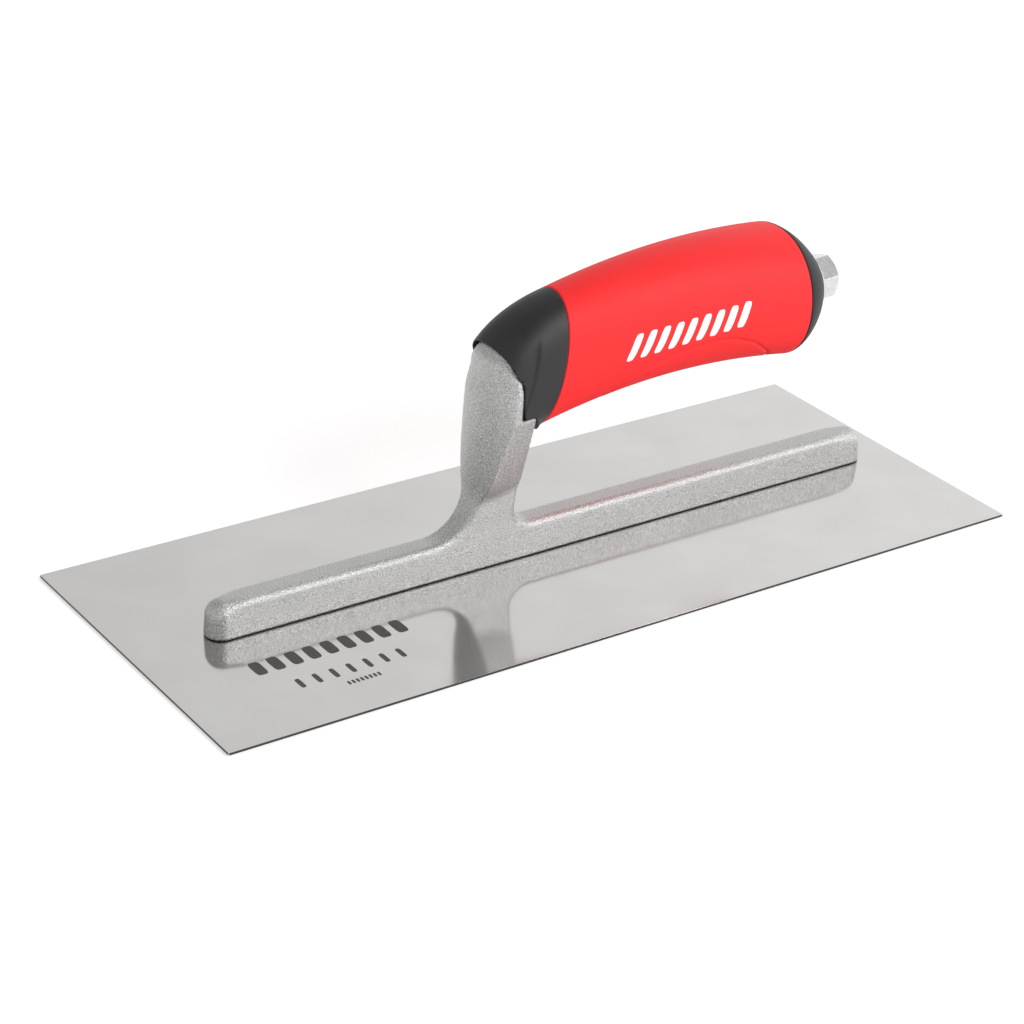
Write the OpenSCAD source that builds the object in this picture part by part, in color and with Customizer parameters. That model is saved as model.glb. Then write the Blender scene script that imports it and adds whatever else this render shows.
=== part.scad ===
// Finishing trowel: a thin rectangular blade riveted under a cast mounting,
// whose shank carries a camel-back handle clamped by one long rod and a nut.
// Origin: centre of the blade's working face. +X to the heel, +Z up. Millimetres.

/* [Blade] */
// Length of the blade, toe to heel
blade_l = 279.4; // [265:0.1:400]
// Width of the blade
blade_w = 114.3; // [60:0.1:140]
// Thickness of the blade
blade_t = 0.8; // [0.6:0.1:1.2]

/* [Mounting bar] */
// Length of the bar that stiffens the blade
bar_l = 242; // [200:1:250]
// How far the bar's middle lies towards the heel
bar_shift = 5.5; // [0:0.5:8]
// Width of the bar
bar_w = 10.2; // [9:0.1:12]
// Height of the bar's top above the working face
bar_top = 12; // [10:0.5:13]
// Radius of the bar's upper end corners
bar_end_r = 5.5; // [3:0.5:7]

/* [Rivets] */
// Number of flush rivets along the bar
rivet_n = 7; // [4:1:9]
// Distance from the first rivet to the last
rivet_span = 222; // [160:1:226]
// Radius of a rivet's body
rivet_r = 1.6; // [1.2:0.1:2]
// Radius of a rivet's countersunk head
rivet_head_r = 2.8; // [2.4:0.1:3.5]
// How deep a rivet reaches above the working face
rivet_l = 7; // [5:0.5:9]

/* [Shank] */
// Front line of the shank, on the middle plane
shank_front_x = -26; // [-26.5:0.1:-24]
// Back line of the shank, on the middle plane
shank_back_x = -11.5; // [-12.5:0.1:-9]
// Plan radius of the shank's front face
shank_front_r = 17.5; // [16:0.5:22]
// Plan radius of the shank's back face
shank_back_r = 60; // [30:1:90]
// Greatest half-width of the shank, just below the collar
shank_half_w = 13.6; // [12:0.1:14]
// Height at which the shank starts to flare
flare_z0 = 24; // [20:1:28]
// Height at which the shank is at its widest
flare_z1 = 51; // [45:1:51]
// How the shank widens with height: below 1 it widens most at the bottom
flare_power = 0.6; // [0.4:0.05:1]
// Fillet in front of the shank
front_fillet_r = 14; // [10:1:18]
// Fillet behind the shank
back_fillet_r = 9; // [5:1:12]

/* [Tongue and boss] */
// Height of the collar's lower rim
rim_z = 51.5; // [51:0.1:52]
// Height of the tip of the tongue that shows in the collar
tongue_top_z = 70.4; // [68:0.1:71]
// Back plane of the tongue
tongue_back_x = -17.5; // [-18:0.1:-16]
// Half-width of the tongue
tongue_half_w = 13.2; // [12:0.1:13.5]
// Height of the tongue's rounded top
arch_h = 14; // [10:0.5:17]
// Radius of the boss that the rod screws into
boss_r = 8.5; // [7:0.5:9]
// End of the boss inside the collar
boss_end_x = -5; // [-8:0.5:-2]

/* [Handle outline] */
// Peak of the handle's top line, as X and Z
top_peak = [56.5, 90.9];
// Radius of the top line
top_r = 258; // [230:1:300]
// Peak of the handle's bottom line, as X and Z
bottom_peak = [50.3, 50.4];
// Radius of the bottom line
bottom_r = 223; // [200:1:260]
// X of the joint between collar and grip, at the top and at the bottom
grip_start = [0.4, -6.8];
// X of the joint between grip and cap, at the top and at the bottom
grip_end = [83.6, 84.2];
// Half-width of the handle at the collar joint
half_w_front = 13.2; // [12:0.1:15]
// Half-width of the handle three fifths along the grip
half_w_mid = 17; // [15:0.1:19]
// Half-width of the handle at the cap joint
half_w_rear = 20; // [17:0.1:21]
// Half-width of the collar at the shank
half_w_nose = 13.8; // [13.7:0.1:15]
// How square the oval sections are: 2 is an ellipse
squareness = 2.12; // [2:0.01:2.6]
// Thickness of the soft sleeve
sleeve_t = 2.8; // [1.5:0.1:4]

/* [Rod and nut] */
// Radius of the rod
rod_r = 4; // [3.5:0.1:4.5]
// Slope of the rod, rising to the heel
rod_tilt = 4.5; // [3:0.1:5]
// Point where the rod passes the cap's flat, as X and Z
rod_exit = [97.5, 68.2];
// Hex nut, width across its flats
nut_af = 13; // [12:0.1:14]
// Hex nut, thickness
nut_t = 7.1; // [5:0.1:8]
// Hex nut, turn about the rod
nut_turn = 13; // [0:1:59]
// Hex nut, depth of its chamfers
nut_chamfer = 0.7; // [0:0.1:1]
// Radius of the washer
washer_r = 8.4; // [7.5:0.1:9]
// Thickness of the washer
washer_t = 1.4; // [1:0.1:2]

/* [Hidden] */
$fn = 64;
seat_gap = 0.2;          // play between the casting and the collar
bore_play = 0.3;         // play of the rod in the handle pieces
thread_play = 0.04;      // radial play where the rod is screwed in
sections = 15;           // oval sections along the grip
ring_n = 48;             // corners of one oval section
big = 80;                // larger than anything that it cuts
toe_x = bar_shift - bar_l / 2;
heel_x = bar_shift + bar_l / 2;
web_front_x = shank_front_x + 0.3;
web_back_x = shank_back_x - 0.2;
pivot_gap = 1.5;         // inner radius of the bend under the collar
nose_low = [-26, rim_z];
arch_round = 0.87;       // power that squares the arch a little: 1 is an ellipse
sink = 0.5;              // how far the tongue's arch starts below the rim
shank_steps = 14;        // layers of the shank's flare
arch_steps = 20;         // corners of the arch's rounded top
bend_n = 9;              // steps of the collar's bend
cap_n = 8;               // steps of the cap's rounding
cap_reach = 0.9;         // share of the cap's rounding that is drawn before the flat
core_gap = 0.05;         // play of the core in the sleeve
rivet_gap = 0.01;        // play of the rivets in the blade
rod_chamfer = 0.8;       // chamfer of the rod's free end
nut_face_inset = 0.2;    // how far the nut's round faces stay inside its flats
web_root_z = bar_top - 1;
web_top_z = flare_z0 + 2;

// ---- outline of the handle -------------------------------------------------

function top_z(x) = top_peak[1] - pow(x - top_peak[0], 2) / (2 * top_r);
function bottom_z(x) = bottom_peak[1] - pow(x - bottom_peak[0], 2) / (2 * bottom_r);
function mix(a, b, t) = a + (b - a) * t;
function unit(v) = v / norm(v);
function signed_pow(v, e) = sign(v) * pow(abs(v), e);

// Half-width along the grip: the curve through its three stated widths.
function grip_half_w(s) =
    half_w_front * (s - 0.6) * (s - 1) / 0.6
    - half_w_mid * s * (s - 1) / 0.24
    + half_w_rear * s * (s - 0.6) / 0.4;

// Oval ring that stands between a point of the bottom line and one of the top line.
function oval(top, bottom, half_w) = [
    for (i = [0 : ring_n - 1])
    let (a = 360 * i / ring_n,
         c = signed_pow(cos(a), 2 / squareness),
         s = signed_pow(sin(a), 2 / squareness),
         p = (top + bottom) / 2 + (top - bottom) / 2 * c)
    [p[0], half_w * s, p[1]]
];

// Ring of the grip at s = 0..1, drawn in by a wall thickness.
function grip_ring(s, wall) =
    let (xt = mix(grip_start[0], grip_end[0], s),
         xb = mix(grip_start[1], grip_end[1], s),
         top = [xt, top_z(xt)],
         bottom = [xb, bottom_z(xb)],
         in = unit(bottom - top) * wall)
    oval(top + in, bottom - in, grip_half_w(s) - wall);

grip_top0 = [grip_start[0], top_z(grip_start[0])];
grip_bottom0 = [grip_start[1], bottom_z(grip_start[1])];
collar_pivot = grip_bottom0 - pivot_gap * unit(grip_top0 - grip_bottom0);

// The nose runs on from the top line and turns down to the rim.
nose_pull = [16, 15];
nose_turn = [-26.8, 58];
top_slope = (top_peak[0] - grip_start[0]) / top_r;
function bezier(a, b, c, d, t) =
    pow(1 - t, 3) * a + 3 * pow(1 - t, 2) * t * b + 3 * (1 - t) * t * t * c + pow(t, 3) * d;
function nose_point(t) =
    bezier(grip_top0, grip_top0 - nose_pull[0] * unit([1, top_slope]),
           nose_turn + [0, nose_pull[1]], nose_turn, t);
function collar_ring(top, t) =
    oval(top, collar_pivot + pivot_gap * unit(top - collar_pivot), mix(half_w_front, half_w_nose, t));

// Ring of the cap at f = 0..1, shrinking from the grip's end towards a pole.
cap_pole = [103.2, 66.6];
cap_round = 1.34;
function cap_ring(f) =
    let (top = [grip_end[0], top_z(grip_end[0])],
         bottom = [grip_end[1], bottom_z(grip_end[1])],
         middle = (top + bottom) / 2,
         k = pow(1 - pow(f, cap_round), 1 / cap_round),
         shift = (cap_pole - middle) * f)
    oval(middle + shift + (top - middle) * k, middle + shift + (bottom - middle) * k, half_w_rear * k);

// ---- shared shapes ---------------------------------------------------------

// Closed solid through a row of rings.
module skin(rings) {
    n = len(rings[0]);
    m = len(rings);
    sides = [for (j = [0 : m - 2], i = [0 : n - 1], k = [0, 1])
        let (a = j * n + i, b = j * n + (i + 1) % n)
        k == 0 ? [a, b, b + n] : [a, b + n, a + n]];
    first = [for (i = [n - 1 : -1 : 0]) i];
    last = [for (i = [0 : n - 1]) (m - 1) * n + i];
    polyhedron(points = [for (r = rings) each r], faces = concat(sides, [first, last]), convexity = 4);
}

// Tube between two rows of rings.
module tube_skin(outer, inner) {
    n = len(outer[0]);
    m = len(outer);
    o = m * n;
    outside = [for (j = [0 : m - 2], i = [0 : n - 1], k = [0, 1])
        let (a = j * n + i, b = j * n + (i + 1) % n)
        k == 0 ? [a, b, b + n] : [a, b + n, a + n]];
    inside = [for (f = outside) [f[0] + o, f[2] + o, f[1] + o]];
    ends = [for (i = [0 : n - 1], k = [0, 1], e = [0, 1])
        let (a = e * (m - 1) * n + i, b = e * (m - 1) * n + (i + 1) % n,
             f = k == 0 ? [a, a + o, b + o] : [a, b + o, b])
        e == 0 ? f : [f[0], f[2], f[1]]];
    polyhedron(points = concat([for (r = outer) each r], [for (r = inner) each r]),
               faces = concat(outside, inside, ends), convexity = 6);
}

// Puts X along the rod's axis, with its zero at the cap's flat.
module on_rod() {
    translate([rod_exit[0], 0, rod_exit[1]]) rotate([0, -rod_tilt, 0]) children();
}

// Cylinder along the rod's axis between two distances from the cap's flat.
module rod_cylinder(r, from, to) {
    on_rod() translate([from, 0, 0]) rotate([0, 90, 0]) cylinder(r = r, h = to - from);
}

module at_rivets() {
    for (i = [0 : rivet_n - 1])
        translate([bar_shift + rivet_span * (i / (rivet_n - 1) - 0.5), 0, 0]) children();
}

// Draws a profile of X and Z, and gives it a depth about the middle plane.
module across(depth) {
    translate([0, depth / 2, 0]) rotate([90, 0, 0]) linear_extrude(depth) children();
}

// ---- mounting --------------------------------------------------------------

// Piece between a corner and its fillet, with the corner at 0,0.
module fillet(r, dir) {
    difference() {
        translate([dir > 0 ? 0 : -r, 0]) square(r);
        translate([dir * r, r]) circle(r);
    }
}

module bar_profile() {
    difference() {
        translate([toe_x, blade_t]) square([bar_l, bar_top - blade_t]);
        translate([toe_x, bar_top]) mirror([0, 1]) fillet(bar_end_r, 1);
        translate([heel_x, bar_top]) mirror([0, 1]) fillet(bar_end_r, -1);
    }
    translate([web_front_x, bar_top]) fillet(front_fillet_r, -1);
    translate([web_back_x, bar_top]) fillet(back_fillet_r, 1);
    translate([web_front_x, web_root_z]) square([web_back_x - web_front_x, web_top_z - web_root_z]);
}

module bar_plan() {
    translate([toe_x + bar_w / 2, -bar_w / 2]) square([bar_l - bar_w, bar_w]);
    for (x = [toe_x + bar_w / 2, heel_x - bar_w / 2]) translate([x, 0]) circle(bar_w / 2);
}

// Half-width of the shank at a height.
function shank_w(z) =
    let (t = max(0, min(1, (z - flare_z0) / (flare_z1 - flare_z0))))
    mix(bar_w / 2, shank_half_w, pow(t, flare_power));

module lens(grow) {
    intersection() {
        translate([shank_front_x + shank_front_r, 0]) circle(shank_front_r + grow, $fn = 128);
        translate([shank_back_x - shank_back_r, 0]) circle(shank_back_r + grow, $fn = 128);
    }
}

module shank_body() {
    right = [for (i = [0 : shank_steps])
        let (z = mix(flare_z0, rim_z, i / shank_steps))
        [shank_w(z), z]];
    left = [for (i = [shank_steps : -1 : 0]) [-right[i][0], right[i][1]]];
    intersection() {
        translate([0, 0, flare_z0]) linear_extrude(rim_z - flare_z0) lens(0);
        rotate([90, 0, 90]) translate([0, 0, -big / 2]) linear_extrude(big) polygon(concat(right, left));
    }
}

// Arch seen from the front: straight sides below, a rounded top.
module arch(grow) {
    low = rim_z - sink;
    spring = tongue_top_z - arch_h;
    w = tongue_half_w + grow;
    h = arch_h + grow;
    polygon(concat([[w, low], [w, spring]],
        [for (i = [1 : arch_steps - 1]) let (a = 180 * i / arch_steps)
            [w * signed_pow(cos(a), arch_round), spring + h * pow(sin(a), arch_round)]],
        [[-w, spring], [-w, low]]));
}

module tongue(grow, front) {
    intersection() {
        rotate([90, 0, 90]) translate([0, 0, -big])
            linear_extrude(big + tongue_back_x + grow) arch(grow);
        translate([shank_front_x + shank_front_r, 0, 0])
            cylinder(r = shank_front_r + front, h = 2 * big, $fn = 128);
    }
}

boss_root_x = tongue_back_x - 2;
boss_from = (boss_root_x - rod_exit[0]) / cos(rod_tilt);
boss_to = (boss_end_x - rod_exit[0]) / cos(rod_tilt);

module mounting() {
    color("silver") difference() {
        union() {
            intersection() {
                across(bar_w) bar_profile();
                linear_extrude(big) bar_plan();
            }
            shank_body();
            tongue(0, 0);
            rod_cylinder(boss_r, boss_from, boss_to);
        }
        rod_cylinder(rod_r + thread_play, boss_from - 1, boss_to + 1);
        at_rivets() cylinder(r = rivet_r + thread_play, h = rivet_l + seat_gap);
    }
}

// ---- blade and rivets ------------------------------------------------------

module rivet(play) {
    cylinder(r1 = rivet_head_r + play, r2 = rivet_r + play, h = blade_t);
    cylinder(r = rivet_r + play, h = rivet_l);
}

module blade() {
    color("gainsboro") difference() {
        translate([-blade_l / 2, -blade_w / 2, 0]) cube([blade_l, blade_w, blade_t]);
        at_rivets() rivet(rivet_gap);
    }
}

module blade_rivets() {
    color("lightgray") at_rivets() rivet(0);
}

// ---- handle ----------------------------------------------------------------

module front_collar() {
    bend = [for (i = [bend_n : -1 : 0]) collar_ring(nose_point(i / bend_n), i / bend_n)];
    color([0.16, 0.16, 0.17]) difference() {
        skin(concat([collar_ring(nose_low, 1)], bend));
        linear_extrude(rim_z) {
            lens(seat_gap);
            translate([tongue_back_x - big, -big / 2]) square([big, big]);
        }
        tongue(seat_gap, big);
        rod_cylinder(boss_r + seat_gap, boss_from - 1, boss_to + seat_gap);
        rod_cylinder(rod_r + bore_play, boss_from, 0);
    }
}

module handle_core() {
    rings = [for (i = [0 : sections]) grip_ring(i / sections, sleeve_t + core_gap)];
    color([0.2, 0.2, 0.21]) difference() {
        skin(rings);
        rod_cylinder(rod_r + bore_play, -big * 2, big);
    }
}

module grip_sleeve() {
    outer = [for (i = [0 : sections]) grip_ring(i / sections, 0)];
    inner = [for (i = [0 : sections]) grip_ring(i / sections, sleeve_t)];
    color([0.93, 0.16, 0.17]) tube_skin(outer, inner);
}

module rear_cap() {
    color([0.16, 0.16, 0.17]) difference() {
        skin([for (i = [0 : cap_n]) cap_ring(cap_reach * i / cap_n)]);
        on_rod() translate([0, -big / 2, -big / 2]) cube(big);
        rod_cylinder(rod_r + bore_play, -big, big);
    }
}

// ---- rod, washer and nut ---------------------------------------------------

nut_from = washer_t;
nut_to = nut_from + nut_t;
rod_end = nut_to + 1;

module tang_rod() {
    color("silver") {
        rod_cylinder(rod_r, boss_from + 1, rod_end - rod_chamfer);
        on_rod() translate([rod_end - rod_chamfer, 0, 0]) rotate([0, 90, 0])
            cylinder(r1 = rod_r, r2 = rod_r - rod_chamfer, h = rod_chamfer);
    }
}

module washer() {
    color("silver") difference() {
        rod_cylinder(washer_r, 0, washer_t);
        rod_cylinder(rod_r + bore_play, -1, washer_t + 1);
    }
}

module hex_nut() {
    corner_r = nut_af / 2 / cos(30);
    face_r = nut_af / 2 - nut_face_inset;
    color("silver") difference() {
        intersection() {
            on_rod() translate([nut_from, 0, 0]) rotate([0, 90, 0]) rotate([0, 0, nut_turn])
                cylinder(r = corner_r, h = nut_t, $fn = 6);
            on_rod() rotate([0, 90, 0]) rotate_extrude()
                polygon([[0, nut_from], [face_r, nut_from], [corner_r, nut_from + nut_chamfer],
                         [corner_r, nut_to - nut_chamfer], [face_r, nut_to], [0, nut_to]]);
        }
        rod_cylinder(rod_r + thread_play, nut_from - 1, nut_to + 1);
    }
}

blade();
mounting();
blade_rivets();
front_collar();
handle_core();
grip_sleeve();
rear_cap();
tang_rod();
washer();
hex_nut();
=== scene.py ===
import math

import bpy
import numpy as np
from mathutils import Matrix, Vector
from mathutils.geometry import tessellate_polygon


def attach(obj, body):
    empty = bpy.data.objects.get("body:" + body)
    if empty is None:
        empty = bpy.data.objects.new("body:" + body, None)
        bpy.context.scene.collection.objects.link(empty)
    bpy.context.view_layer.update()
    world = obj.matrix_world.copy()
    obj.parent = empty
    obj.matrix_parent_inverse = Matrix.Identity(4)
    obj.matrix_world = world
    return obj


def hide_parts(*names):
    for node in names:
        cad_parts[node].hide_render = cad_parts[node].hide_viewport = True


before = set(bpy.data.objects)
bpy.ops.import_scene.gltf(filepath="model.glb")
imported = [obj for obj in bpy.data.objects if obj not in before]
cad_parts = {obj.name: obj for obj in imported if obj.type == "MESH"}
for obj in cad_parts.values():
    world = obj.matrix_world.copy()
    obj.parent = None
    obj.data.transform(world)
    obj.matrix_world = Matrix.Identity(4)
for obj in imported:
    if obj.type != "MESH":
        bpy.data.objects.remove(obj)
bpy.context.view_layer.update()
MM = 0.001

# ---- sizes, in millimetres, in the CAD's frame ------------------------------

BLADE_TOP = 0.8
BLADE_HALF = (139.7, 57.15)
BLADE_CORNER_R = 0.5
BLADE_BEVEL = 0.12
# Width of the band of painted shade along the blade's edges
BLADE_EDGE_SHADE_W = 0.1
# Top and inset of the near-black strip of painted shade under the bar
SHADE_STRIP_TOP = 1.2
SHADE_STRIP_INSET = 0.45
BAR_MIDDLE = 5.5
BAR_HALF_L = 121.0
BAR_HALF_W = 5.1
BAR_DRAFT = 0.06
BAR_TOP = 12.0
BAR_EDGE_R = 2.3
BAR_END_R = 4.6
RIVET_SPAN = 222.0
RIVETS_X = [BAR_MIDDLE + RIVET_SPAN * (i / 6 - 0.5) for i in range(7)]
RIVET_HEAD_R = 2.8
RIVET_R = 1.6
RIVET_TOP = 7.0
RIVET_GAP = 0.03
RIVET_SINK = 0.03
RIVET_CORNERS = 32
SHANK_FRONT_X = -26.75
SHANK_BACK_X = -12.6
SHANK_MIDDLE_X = -18
SHANK_FRONT_R = 17.5
FRONT_FILLET_R = 15.0
BACK_FILLET_R = 7.0
SHANK_ROOT_W = 5.0
# Lower and upper height, half-width at the top, and power of each widening line
CREASE_FLARE = (24.0, 51.0, 13.5, 0.6)
BACK_FLARE = (25.0, 51.0, 12.8, 0.8)
RIM_Z = 51.5
TONGUE_TOP_Z = 71.3
TONGUE_BACK_X = -17.5
ARCH_HALF_W = 13.2
ARCH_H = 17.0
ARCH_POWER = 2.5
SEAT_GAP = 0.25
TOP_PEAK, TOP_R = (56.5, 90.9), 258.0
BOTTOM_PEAK, BOTTOM_R = (50.3, 50.4), 223.0
GRIP_START = (0.4, -6.8)
GRIP_END = (83.6, 84.2)
# Half-width at the grip's front, at GRIP_MID of its length, and at its rear
HALF_W = (13.2, 17.0, 20.0)
GRIP_MID = 0.6
HALF_W_NOSE = 13.8
SQUARENESS = 2.12
NOSE_SQUARENESS = 2.4
SLEEVE_T = 2.8
PIVOT_GAP = 1.5
NOSE_PULL = (16.0, 14.0)
NOSE_TURN = (-27.5, 58.0)
NOSE_LAST_ANGLE = 2.9
EDGE_R = 0.4
CAP_POLE = (103.2, 66.6)
CAP_ROUND = 1.34
ROD_R = 4.0
ROD_HOLE_R = 4.3
CAP_BORE_DEPTH = 12.0
ROD_TILT = math.radians(4.5)
ROD_EXIT = (97.5, 68.2)
ROD_START = -116.0
THREAD_PITCH, THREAD_DEPTH = 1.25, 0.62
WASHER_R, WASHER_T = 8.4, 1.4
WASHER_EDGE_R = 0.22
NUT_AF, NUT_T = 13.0, 7.1
NUT_TURN = math.radians(13)
NUT_FACE_INSET = 0.15
NUT_CHAMFER = 0.62
# The middle of each row's first and last bar, how many bars, and a bar's height and width
BLADE_MARKS = [((-111.2, -22.5), (-64.6, -21.8), 9, 7.2, 3.6),
               ((-105.0, -35.3), (-72.0, -35.0), 7, 5.0, 1.6),
               ((-93.2, -41.9), (-83.4, -41.8), 8, 1.9, 0.8)]
MARK_RISE, MARK_DEPTH = 0.03, 0.05


# ---- small maths ------------------------------------------------------------

def circle(corners):
    """Evenly spaced angles, once round."""
    return np.linspace(0, 2 * math.pi, corners, endpoint=False)


def unit(v):
    v = np.asarray(v, float)
    return v / np.linalg.norm(v)


def mix(a, b, t):
    return a + (b - a) * t


def smoothstep(low, high, x):
    t = np.clip((x - low) / (high - low), 0, 1)
    return t * t * (3 - 2 * t)


def signed_pow(v, e):
    return np.sign(v) * np.abs(v) ** e


def round_max(a, b, r):
    """Both solids at once, with the edge between them rounded to radius r."""
    return np.minimum(np.maximum(a, b), -r) + np.hypot(np.maximum(a + r, 0), np.maximum(b + r, 0))


def round_min(a, b, r):
    """The two solids joined, with a fillet of radius r between them."""
    return -round_max(-a, -b, r)


def smooth_curve(points, passes=260):
    """A function near the points, with its corners averaged away in that many passes."""
    xs, ys = zip(*points)
    fine = np.linspace(xs[0], xs[-1], 500)
    values = np.interp(fine, xs, ys)
    for _ in range(passes):
        values[1:-1] = (values[:-2] + 2 * values[1:-1] + values[2:]) / 4
    return lambda x: np.interp(x, fine, values)


# ---- mesh helpers -----------------------------------------------------------

def make_piece(name, points_mm, faces, material, replaces=(), smooth_angle=None,
               normals=None):
    """A mesh object that rides on the body, from points in millimetres."""
    mesh = bpy.data.meshes.new(name)
    mesh.from_pydata([tuple(p) for p in np.asarray(points_mm, float) * MM], [], faces)
    mesh.validate()
    mesh.shade_smooth()
    if smooth_angle is not None:
        mesh.set_sharp_from_angle(angle=math.radians(smooth_angle))
    if normals is not None:
        mesh.normals_split_custom_set_from_vertices([tuple(n) for n in normals])
    obj = bpy.data.objects.new(name, mesh)
    bpy.context.scene.collection.objects.link(obj)
    mesh.materials.append(material)
    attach(obj, "root")
    if replaces:
        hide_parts(*replaces)
    return obj


def ring_faces(rows, n, wrap_rows=False):
    """Quads through a stack of closed rings of n points each."""
    faces = []
    for j in range(rows if wrap_rows else rows - 1):
        a, b = j * n, ((j + 1) % rows) * n
        faces += [(a + i, a + (i + 1) % n, b + (i + 1) % n, b + i) for i in range(n)]
    return faces


def gradient(field, p, h=0.02):
    """Slope of a field at each point."""
    out = np.zeros_like(p)
    for k in range(3):
        step = np.zeros(3)
        step[k] = h
        up, down = (p + step).T, (p - step).T
        out[:, k] = (field(*up) - field(*down)) / (2 * h)
    return out


def implicit_surface(field, low, high, step):
    """Points, quads and normals of the surface where the field is 0.

    The solid is where the field is negative. Each grid cell that the surface crosses gets one
    point, and each grid edge that it crosses gets one quad.
    """
    axes = [np.arange(a, b + step, step) for a, b in zip(low, high)]
    grid = np.meshgrid(*axes, indexing="ij")
    value = field(*grid)
    inside = value < 0
    shape = np.array(value.shape) - 1
    total = np.zeros(shape, int)
    place = np.zeros((*shape, 3))
    count = np.zeros(shape)

    def corner(a, c):
        return a[c[0]:shape[0] + c[0], c[1]:shape[1] + c[1], c[2]:shape[2] + c[2]]

    cube = [(i, j, k) for i in (0, 1) for j in (0, 1) for k in (0, 1)]
    for c in cube:
        total += corner(inside, c)
    for c in cube:
        for axis in range(3):
            if c[axis]:
                continue
            d = list(c)
            d[axis] = 1
            f0, f1 = corner(value, c), corner(value, d)
            cross = (f0 < 0) != (f1 < 0)
            t = np.where(cross, f0 / np.where(cross, f0 - f1, 1), 0)
            point = np.stack([np.full(shape, float(v)) for v in c], -1)
            point[..., axis] = t
            place += point * cross[..., None]
            count += cross
    mixed = (total > 0) & (total < 8)
    index = np.full(shape, -1)
    index[mixed] = np.arange(mixed.sum())
    cells = np.argwhere(mixed)
    points = (cells + place[mixed] / count[mixed][:, None]) * step + np.array(low)
    faces = []
    for axis in range(3):
        u, v = [(1, 2), (2, 0), (0, 1)][axis]
        sel0 = [slice(1, -1)] * 3
        sel0[axis] = slice(0, -1)
        sel1 = list(sel0)
        sel1[axis] = slice(1, None)
        a, b = inside[tuple(sel0)], inside[tuple(sel1)]
        hits = np.argwhere(a != b)
        flip = a[tuple(hits.T)]
        base = hits + 1
        base[:, axis] -= 1
        quad = []
        for du, dv in ((-1, -1), (0, -1), (0, 0), (-1, 0)):
            cell = base.copy()
            cell[:, u] += du
            cell[:, v] += dv
            quad.append(index[tuple(cell.T)])
        quad = np.stack(quad, 1)
        quad[~flip] = quad[~flip][:, ::-1]
        faces.append(quad)
    faces = np.concatenate(faces)
    # A few Newton steps, none longer than half a cell, put the points on the surface.
    for _ in range(4):
        g = gradient(field, points)
        f = field(*points.T)
        move = -f[:, None] * g / np.maximum((g * g).sum(1), 0.05)[:, None]
        size = np.linalg.norm(move, axis=1, keepdims=True)
        points = points + move * np.minimum(1, 0.5 * step / np.maximum(size, 1e-9))
    g = gradient(field, points)
    return points, faces.tolist(), g / np.maximum(np.linalg.norm(g, axis=1, keepdims=True), 1e-9)


# ---- the handle's outline ---------------------------------------------------

def top_z(x):
    return TOP_PEAK[1] - (x - TOP_PEAK[0]) ** 2 / (2 * TOP_R)


def bottom_z(x):
    return BOTTOM_PEAK[1] - (x - BOTTOM_PEAK[0]) ** 2 / (2 * BOTTOM_R)


def grip_half_w(s):
    """The parabola through the three half-widths, for s from 0 at the front to 1 at the rear."""
    front, mid, rear = HALF_W
    m = GRIP_MID
    return (front * (s - m) * (s - 1) / m - mid * s * (s - 1) / (m * (1 - m))
            + rear * s * (s - m) / (1 - m))


def oval_points(top, bottom, half_w, a):
    """Points at the angles a of the oval between two points of the middle plane."""
    top, bottom = np.asarray(top, float), np.asarray(bottom, float)
    c = signed_pow(np.cos(a), 2 / SQUARENESS)[:, None]
    s = signed_pow(np.sin(a), 2 / SQUARENESS)
    p = (top + bottom) / 2 + (top - bottom) / 2 * c
    return np.stack([p[:, 0], half_w * s, p[:, 1]], 1)


def grip_ring(s, a, wall=0.0):
    """Points of the grip's section at s, moved inward by wall."""
    xt = mix(GRIP_START[0], GRIP_END[0], s)
    xb = mix(GRIP_START[1], GRIP_END[1], s)
    top, bottom = np.array([xt, top_z(xt)]), np.array([xb, bottom_z(xb)])
    inward = unit(bottom - top) * wall
    return oval_points(top + inward, bottom - inward, grip_half_w(s) - wall, a)


GRIP_TOP0 = np.array([GRIP_START[0], top_z(GRIP_START[0])])
GRIP_BOTTOM0 = np.array([GRIP_START[1], bottom_z(GRIP_START[1])])
PIVOT = GRIP_BOTTOM0 - PIVOT_GAP * unit(GRIP_TOP0 - GRIP_BOTTOM0)


def nose_curve(t):
    """The collar's top line, from the grip's joint forward and down."""
    slope = (TOP_PEAK[0] - GRIP_START[0]) / TOP_R
    b = GRIP_TOP0 - NOSE_PULL[0] * unit([1, slope])
    d = np.array(NOSE_TURN)
    c = d + [0, NOSE_PULL[1]]
    t = np.asarray(t)[:, None]
    near, far = (1 - t) ** 3 * GRIP_TOP0, t ** 3 * d
    return near + 3 * (1 - t) ** 2 * t * b + 3 * (1 - t) * t * t * c + far


NOSE_T = np.linspace(0, 1, 200)
NOSE_POINTS = nose_curve(NOSE_T)
NOSE_REL = NOSE_POINTS - PIVOT
NOSE_ANGLE = np.arctan2(NOSE_REL[:, 1], NOSE_REL[:, 0])
NOSE_R = np.hypot(NOSE_REL[:, 0], NOSE_REL[:, 1])


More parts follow.
